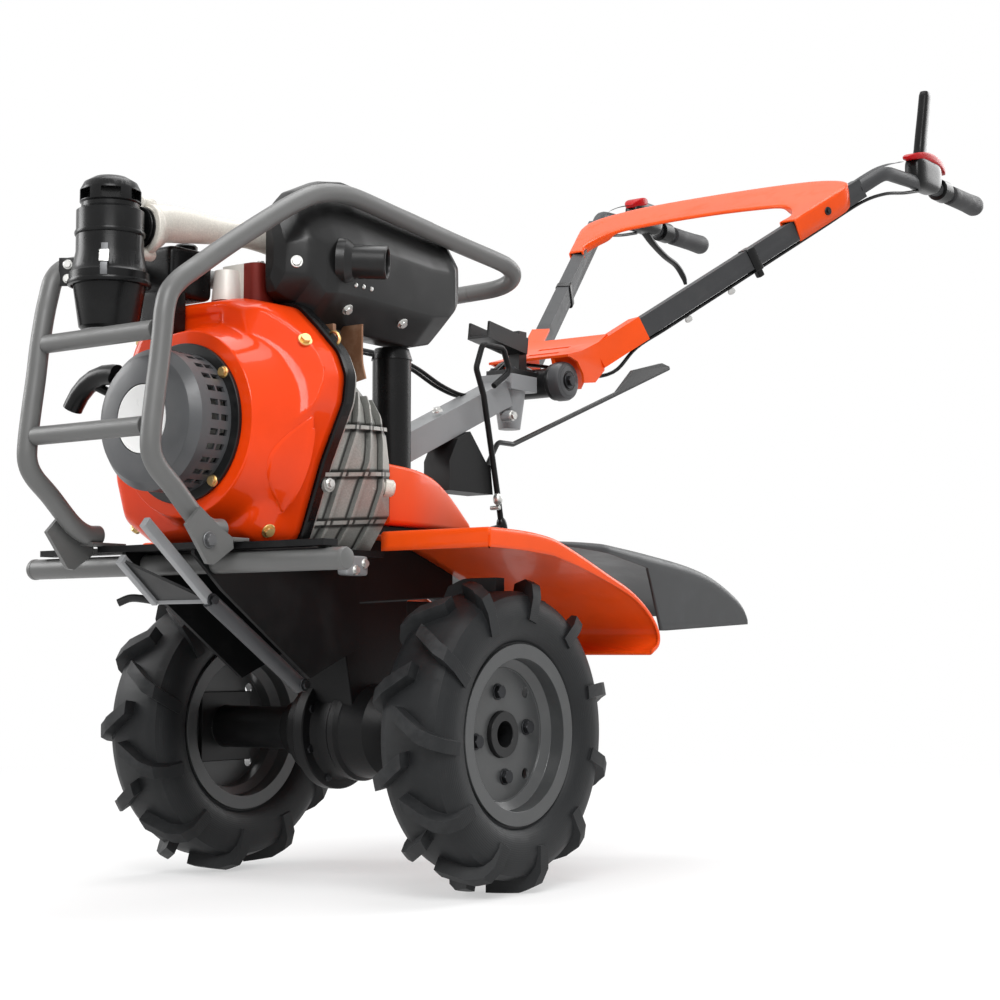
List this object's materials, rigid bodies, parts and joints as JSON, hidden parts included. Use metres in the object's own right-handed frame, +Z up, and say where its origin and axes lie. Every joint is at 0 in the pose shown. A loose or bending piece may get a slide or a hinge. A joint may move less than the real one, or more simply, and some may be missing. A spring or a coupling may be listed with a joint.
{
  "type": "power tiller",
  "caption": "Walk-behind diesel power tiller on lugged transport wheels, with tube guard, fenders, drag stake and a height-adjustable handlebar.",
  "frame": {"origin": "middle of the overall box, on the ground", "axes": "+Z up, +Y towards the handlebar grips, +X towards the machine's left"},
  "size_m": [0.644, 1.9657, 1.3391],
  "materials": {
    "tyre": "matt rubber",
    "rim": "satin grey paint",
    "black_metal": "satin black paint",
    "gear_cast": "black painted casting",
    "grey_tube": "satin grey paint",
    "light_grey": "satin light grey paint",
    "engine_alloy": "rough cast",
    "orange": "gloss paint",
    "drum_grey": "satin paint",
    "pale": "smooth",
    "black_plastic": "moulded",
    "cream": "cast, matt",
    "heat_steel": "heat tinted",
    "grip": "soft rubber",
    "flap": "moulded"
  },
  "bodies": {
    "machine": {"gearbox": "gear_cast", "chassis": "black_metal", "front_bar": "grey_tube", "front_brace": "light_grey", "guard_left": "grey_tube", "guard_right": "grey_tube", "guard_bars": "grey_tube", "crankcase": "engine_alloy", "fan_shroud": "orange", "fan_cover": "drum_grey", "fan_ring": "black_metal", "starter_cap": "pale", "pull_handle": "black_plastic", "air_cleaner": "black_plastic", "intake_pipe": "cream", "fuel_tank": "black_plastic", "muffler": "black_metal", "heat_bracket": "heat_steel", "filler_canister": "black_plastic", "centre_cover": "orange", "left_fender": "orange", "right_fender": "orange", "left_flap": "flap", "right_flap": "flap", "column": "light_grey", "selector": "black_metal", "shift_rod": "black_metal", "hitch": "black_metal", "drag_stake": "black_metal", "handle_head": "black_metal", "tilt_knob": "black_plastic"},
    "left_wheel": {"left_tyre": "tyre", "left_rim": "rim", "left_hub": "black_metal"},
    "right_wheel": {"right_tyre": "tyre", "right_rim": "rim", "right_hub": "black_metal"},
    "handlebar": {"yoke": "orange", "left_handle": "grey_tube", "right_handle": "grey_tube", "cross_plate": "orange", "left_grip": "grip", "right_grip": "grip", "left_lever": "black_plastic", "right_lever": "black_plastic"}
  },
  "joints": [
    {"name": "left_wheel_spin", "type": "hinge", "parent": "machine", "child": "left_wheel", "pos_m": [0.245, -0.48115, 0.205], "axis": [1, 0, 0], "continuous": true},
    {"name": "right_wheel_spin", "type": "hinge", "parent": "machine", "child": "right_wheel", "pos_m": [-0.245, -0.48115, 0.205], "axis": [1, 0, 0], "continuous": true},
    {"name": "handlebar_tilt", "type": "hinge", "parent": "machine", "child": "handlebar", "pos_m": [0, -0.05515, 0.733], "axis": [1, 0, 0], "range_deg": [-14, 16]}
  ]
}
